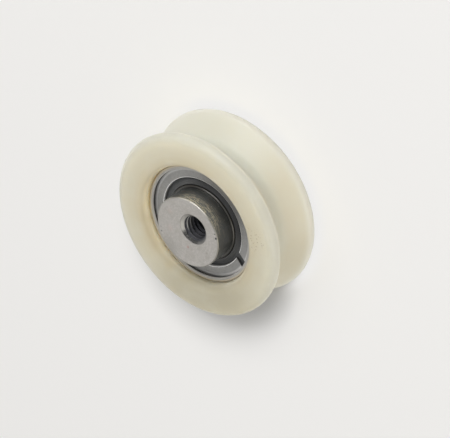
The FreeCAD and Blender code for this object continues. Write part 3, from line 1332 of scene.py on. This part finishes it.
@dataclass
class Closures(Assembly):
    """What closes the bearing on each side: a rubber seal washer under a split retaining ring."""

    ring_width: float = 4.0
    ring_inner_fillet: float = 0.3
    ring_outer_fillet: float = 0.1
    seal_lip_clearance: float = 0.1
    seal_lip_width: float = 0.4
    seal_thickness: float = 1.5
    seal_web_drop: float = 0.2
    seal_step_fillet: float = 0.08
    seal_web_fillet: float = 0.4
    seal_crest_fillet: float = 0.15
    seal_edge_fillet: float = 0.1
    slit_width: float = 2.45
    slit_angle_deg: float = -69.8
    slit_slant_deg: float = -21.0
    # Painted light on the ring's outer margin and a painted highlight on its inner edge.
    margin_light_tone: Colour = (0.62, 0.61, 0.59)
    inner_edge_highlight_tone: Colour = (0.95, 0.94, 0.92)

    def build(self) -> None:
        """Make, dress and publish both sides."""
        rubber = RubberFinish().material()
        steel = StampedSteelFinish(
            "stamped spring steel",
            tone=(0.37, 0.365, 0.352),
            scratch_tone=(0.24, 0.236, 0.228),
            roughness=0.5,
            metallic=0.6,
            zones=self.zones(),
            # A share of painted shade towards one azimuth.
            ring_shade=0.4,
        ).material()
        for side in Side:
            label = side.name.lower()
            seal = self.seal_corners(label, side)
            self.lathe.piece(f"seal_washer_{label}", seal, rubber, Body.ROLLER, Slot.SEAL, f"{label}_seal")
            node = f"{label}_retaining_ring"
            ring = Turned.node(node)
            middle = ring.radius - self.ring_width / 2
            slit = Slit(self.slit_width, self.slit_angle_deg, self.slit_slant_deg, middle)
            split = self.ring_corners(ring)
            self.lathe.piece(f"split_ring_{label}", split, steel, Body.ROLLER, Slot.RETAINING, node, slit)

    def zones(self) -> tuple[Zone, ...]:
        """The bands of a retaining ring that look different.

        Returns:
            The outer margin in painted light and the inner edge in a painted highlight.
        """
        front = Turned.node("front_retaining_ring")
        middle = (front.low + Turned.node("rear_retaining_ring").high) / 2
        inner = front.radius - self.ring_width
        over = 0.1  # how far a band reaches past the surface that it ends on
        heights = (front.low - middle, front.high - middle + over)
        return (
            # Painted light on the outer margin, painted highlight on the inner edge.
            Zone((front.radius - 1.0, front.radius + over), heights, middle, self.margin_light_tone, 0.6),
            Zone((inner - 0.5, inner + 0.28), heights, middle, self.inner_edge_highlight_tone),
        )

    def ring_corners(self, ring: Turned) -> list[Corner]:
        """A retaining ring's outline, by the ring's radius and heights."""
        inner = ring.radius - self.ring_width
        return [
            Corner(inner, ring.low, self.ring_inner_fillet),
            Corner(ring.radius, ring.low, self.ring_outer_fillet),
            Corner(ring.radius, ring.high, self.ring_outer_fillet),
            Corner(inner, ring.high, self.ring_inner_fillet),
        ]

    def seal_corners(self, label: str, side: Side) -> list[Corner]:
        """A seal washer's outline.

        Args:
            label: the side's word in the node names.
            side: the side.

        Returns:
            Its corners.
        """
        seal = Turned.node(f"{label}_seal")
        ring_inner = Turned.node(f"{label}_retaining_ring").radius - self.ring_width
        inner = Turned.node("inner_ring").radius + self.seal_lip_clearance
        crest = inner + self.seal_lip_width
        foot, lip = (seal.low, seal.high) if side is Side.FRONT else (seal.high, seal.low)
        bead = foot + side.value * self.seal_thickness
        web = bead - side.value * self.seal_web_drop
        return [
            Corner(inner, foot),
            Corner(seal.radius, foot),
            Corner(seal.radius, bead),
            Corner(ring_inner + self.seal_web_drop, bead, self.seal_step_fillet),
            Corner(ring_inner, web, self.seal_step_fillet),
            Corner((ring_inner + crest) / 2, web, self.seal_web_fillet),
            Corner(crest, lip, self.seal_crest_fillet),
            Corner(inner, lip, self.seal_edge_fillet),
        ]


@dataclass
class BallSet(Assembly):
    """The balls and their riveted cage, all inside the closed bearing."""

    ball_count: int = 8
    pitch_radius: float = 15.08
    sheet: float = 0.6
    shank_radius: float = 0.5
    head_radius: float = 0.9
    head_height: float = 0.4
    head_flat: float = 0.6
    head_fillet: float = 0.1
    core_radius: float = 0.01
    rivet_segments: int = 16

    def build(self) -> None:
        """Dress the balls and cage halves, and make the rivets."""
        ball_steel = BallFinish().material()
        for number in range(1, self.ball_count + 1):
            dress(f"ball_{number}", ball_steel)
        strip = StampedSteelFinish(
            "cage strip",
            tone=(0.48, 0.47, 0.44),
            scratch_tone=(0.36, 0.35, 0.33),
            roughness=0.34,
        ).material()
        dress("cage_front", strip)
        dress("cage_rear", strip)
        crown = self.sheet + self.head_height
        half = [
            Corner(self.shank_radius, self.sheet),
            Corner(self.head_radius, self.sheet),
            Corner(self.head_flat * self.head_radius, crown, self.head_fillet),
            Corner(self.core_radius, crown),
        ]
        outline = Profile(mirrored(half, 0.0) + half, closed=False)
        rivet = Lathe(self.rivet_segments, self.lathe.tree).turn(outline, strip)
        low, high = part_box("cage_rivets")
        rivets = RivetTree().run(weld([rivet]), {
            "Count": self.ball_count,
            "Pitch Radius": self.pitch_radius * MM,
            "First Angle": math.pi / self.ball_count,
            "Height": (low.z + high.z) / 2,
            ShapeTree.FINISH: strip,
        })
        publish("rivet_set", rivets, Body.CAGE, Slot.CAGE, "cage_rivets")


@dataclass
class EccentricHub(Assembly):
    """The turned hub, with its thread cut into the off-centre hole."""

    journal_radius: float = 9.515
    eccentricity: float = 3.175
    thread_major: float = 9.525
    thread_pitch: float = 1.5875
    countersink_margin: float = 0.47
    face_fillet: float = 0.3
    shoulder_fillet: float = 0.1
    rear_fillet: float = 0.4
    row_step: float = 0.08
    sharp_deg: float = 35.0

    def build(self) -> None:
        """Make, dress and publish the hub."""
        hub = Turned.node("eccentric_hub")
        shoulder = Turned.node("inner_ring").high
        mouth = self.thread_major / 2 + self.countersink_margin
        tap = (self.thread_major - self.thread_pitch) / 2
        finish = HubFinish(self.eccentricity, mouth, tap, hub.high, hub.low, hub.radius).material()
        turned = self.lathe.turn(Profile([
            Corner(mouth, hub.high, shift=self.eccentricity),
            Corner(hub.radius, hub.high, self.face_fillet),
            Corner(hub.radius, shoulder, self.shoulder_fillet),
            Corner(self.journal_radius, shoulder),
            Corner(self.journal_radius, hub.low, self.rear_fillet),
            Corner(mouth, hub.low, shift=self.eccentricity),
        ], closed=False), finish)
        thread = ThreadTree().run(bpy.data.meshes.new("hole"), {
            "Rows": round((hub.high - hub.low) / self.row_step),
            "Segments": self.lathe.segments,
            "Tap Radius": tap * MM,
            "Depth": (self.thread_major / 2 - tap) * MM,
            "Pitch": self.thread_pitch * MM,
            "Mouth Radius": mouth * MM,
            "Low": hub.low * MM,
            "High": hub.high * MM,
            "Shift": self.eccentricity * MM,
            ShapeTree.FINISH: finish,
        })
        mesh = weld([turned, thread], self.sharp_deg)
        publish("threaded_hub", mesh, Body.HUB, Slot.HUB, "eccentric_hub")


@dataclass
class SoftBox:
    """One square soft light that looks at the roller."""

    name: str
    direction: tuple[float, float, float]
    distance_m: float
    size_m: float
    watts: float
    reach: Reach
    tint: Colour = WHITE

    def build(self, aim: Vector, floor: Object) -> None:
        """Place the light.

        Args:
            aim: the point that it looks at.
            floor: the floor, which it falls on alone or leaves out.
        """
        lamp = bpy.data.lights.new(self.name, "AREA")
        lamp.size = self.size_m
        lamp.energy = self.watts
        lamp.color = self.tint
        light = bpy.data.objects.new(self.name, lamp)
        way = Vector(self.direction).normalized()
        light.location = aim + way * self.distance_m
        light.rotation_euler = way.to_track_quat("Z", "Y").to_euler()
        light.visible_camera = False
        bpy.context.scene.collection.objects.link(light)
        receivers = bpy.data.collections.new(f"{self.name}_receivers")
        receivers.objects.link(floor)
        receivers.collection_objects[0].light_linking.link_state = self.reach.value
        light.light_linking.receiver_collection = receivers


@dataclass
class Studio:
    """Pale floor, soft light and the camera that looks as the photograph does."""

    image_px: tuple[int, int] = (450, 438)
    sensor_mm: float = 36.0
    focal_px: float = 2048.0
    axis_tilt_deg: float = 49.87
    axis_turn_deg: float = 35.56
    hole_turn_deg: float = 4.91
    distance: float = 641.0
    anchor_px: Span = (197.95, 225.13)
    anchor_height: float = 19.8
    floor_tone: Colour = (0.85, 0.845, 0.832)
    floor_half_m: float = 3.0
    # Painted light: on camera rays the floor glows in its own tone in a band beside the rim, on one side,
    # taking out the rim's contact shadow there.
    rim_even: float = 0.92
    rim_even_inside: Span = (24.5, 26.5)
    rim_even_outside: Span = (32.5, 36.5)
    rim_even_azimuth_deg: float = 0.0
    world_level: float = 0.4
    horizon: Span = (0.12, 0.3)
    clip_start_m: float = 0.01
    boxes: list[SoftBox] = field(default_factory=lambda: [
        SoftBox("floor_key", (0.735, 0.3, 0.608), 5.0, 1.5, 182.0, Reach.FLOOR, (1.0, 1.0, 1.03)),
        SoftBox("floor_soft", (0.3, 0.57, 0.766), 5.0, 3.6, 28.0, Reach.FLOOR, (1.0, 0.95, 0.8)),
        SoftBox("floor_low", (0.7, 0.42, 0.58), 5.0, 1.6, 40.0, Reach.FLOOR, (1.0, 0.96, 0.84)),
        SoftBox("roller_key", (0.52, 0.64, 0.56), 0.25, 0.13, 0.355, Reach.ROLLER),
        SoftBox("side_fill", (0.38, -0.82, 0.42), 3.0, 1.6, 36.0, Reach.ROLLER, (1.0, 0.96, 0.88)),
        SoftBox("rim_fill", (-0.78, 0.6, 0.18), 1.5, 0.8, 3.5, Reach.ROLLER),
        SoftBox("front_fill", (0.76, 0.06, 0.64), 1.5, 1.5, 1.6, Reach.ROLLER),
        SoftBox("face_fill", (-0.76, -0.1, 0.66), 1.5, 1.1, 2.2, Reach.ROLLER),
    ])

    def build(self) -> None:
        """Make the floor, the lights, the world and the camera."""
        bpy.context.scene.view_settings.view_transform = "Standard"
        low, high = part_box("roller_tyre")
        floor = self.floor(low.z)
        for box in self.boxes:
            box.build((low + high) / 2, floor)
        self.world()
        self.camera()

    def floor(self, height: float) -> Object:
        """Make the floor, with painted light beside the rim on one side where it is seen.

        Args:
            height: its height in metres.

        Returns:
            The floor.
        """
        half = self.floor_half_m
        mesh = bpy.data.meshes.new("floor")
        corners = [(-half, -half, height), (half, -half, height), (half, half, height), (-half, half, height)]
        mesh.from_pydata(corners, [], [(0, 1, 2, 3)])
        g = ShaderGraph("pale floor")
        # Painted light: a band beside the rim, on one side, glows for camera rays and takes out the rim's
        # contact shadow.
        by_rim = g.radius.smooth(*self.rim_even_inside) * (1 - g.radius.smooth(*self.rim_even_outside))
        evened = by_rim * g.side(self.rim_even_azimuth_deg, -0.3, 0.3) * self.rim_even
        lit = g.node("ShaderNodeBsdfDiffuse", feeds={"Color": self.floor_tone})
        even = g.node("ShaderNodeEmission", feeds={"Color": self.floor_tone, "Strength": 1.0})
        g.node("ShaderNodeOutputMaterial", feeds={"Surface": g.blend(g.seen() * evened, lit, even)})
        mesh.materials.append(g.material)
        floor = bpy.data.objects.new("floor", mesh)
        bpy.context.scene.collection.objects.link(floor)
        return floor

    def world(self) -> None:
        """Light the scene evenly, with the floor's tone going on a little above the horizon."""
        world = bpy.data.worlds.new("studio")
        world.use_nodes = True
        world.node_tree.nodes.clear()
        bpy.context.scene.world = world
        g = Graph(world.node_tree)
        _, _, height = g.split(g.node("ShaderNodeTexCoord").outputs["Generated"])
        low = 1 - height.smooth(*self.horizon)
        soft = g.node("ShaderNodeBackground", feeds={"Color": WHITE, "Strength": self.world_level})
        pale = g.node("ShaderNodeBackground", feeds={"Color": self.floor_tone, "Strength": 1.0})
        g.node("ShaderNodeOutputWorld", feeds={"Surface": g.blend(g.seen() * low, soft, pale)})

    def camera(self) -> None:
        """Place the camera from the spin axis's tilt and turn in the picture."""
        tilt, turn = math.radians(self.axis_tilt_deg), math.radians(self.axis_turn_deg)
        hole = math.radians(self.hole_turn_deg)
        near = Vector((math.cos(hole), math.sin(hole), 0.0))
        across = Vector((math.sin(hole), -math.cos(hole), 0.0))
        axis = Vector((0.0, 0.0, 1.0))
        right = (
            across * math.sin(turn)
            + near * (math.cos(tilt) * math.cos(turn))
            - axis * (math.sin(tilt) * math.cos(turn))
        )
        back = near * math.sin(tilt) + axis * math.cos(tilt)
        up = back.cross(right)
        depth = self.distance / self.focal_px
        aside = (self.anchor_px[0] - self.image_px[0] / 2) * depth
        below = (self.anchor_px[1] - self.image_px[1] / 2) * depth
        anchor = axis * self.anchor_height
        place = (anchor - right * aside + up * below + back * self.distance) * MM
        lens = bpy.data.cameras.new("camera")
        lens.sensor_fit = "HORIZONTAL"
        lens.sensor_width = self.sensor_mm
        lens.lens = self.focal_px * self.sensor_mm / self.image_px[0]
        lens.clip_start = self.clip_start_m
        camera = bpy.data.objects.new("camera", lens)
        turned = Matrix((right, up, back)).transposed().to_4x4()
        camera.matrix_world = Matrix.Translation(place) @ turned
        bpy.context.scene.collection.objects.link(camera)
        bpy.context.scene.camera = camera


def main() -> None:
    """Build every sub-assembly and the studio."""
    logging.basicConfig(level=logging.INFO, format="%(name)s %(message)s")
    lathe = Lathe()
    for assembly in (NylonTyre, BearingRings, Closures, BallSet, EccentricHub):
        assembly(lathe).build()
    Studio().build()


if __name__ == "__main__":
    main()
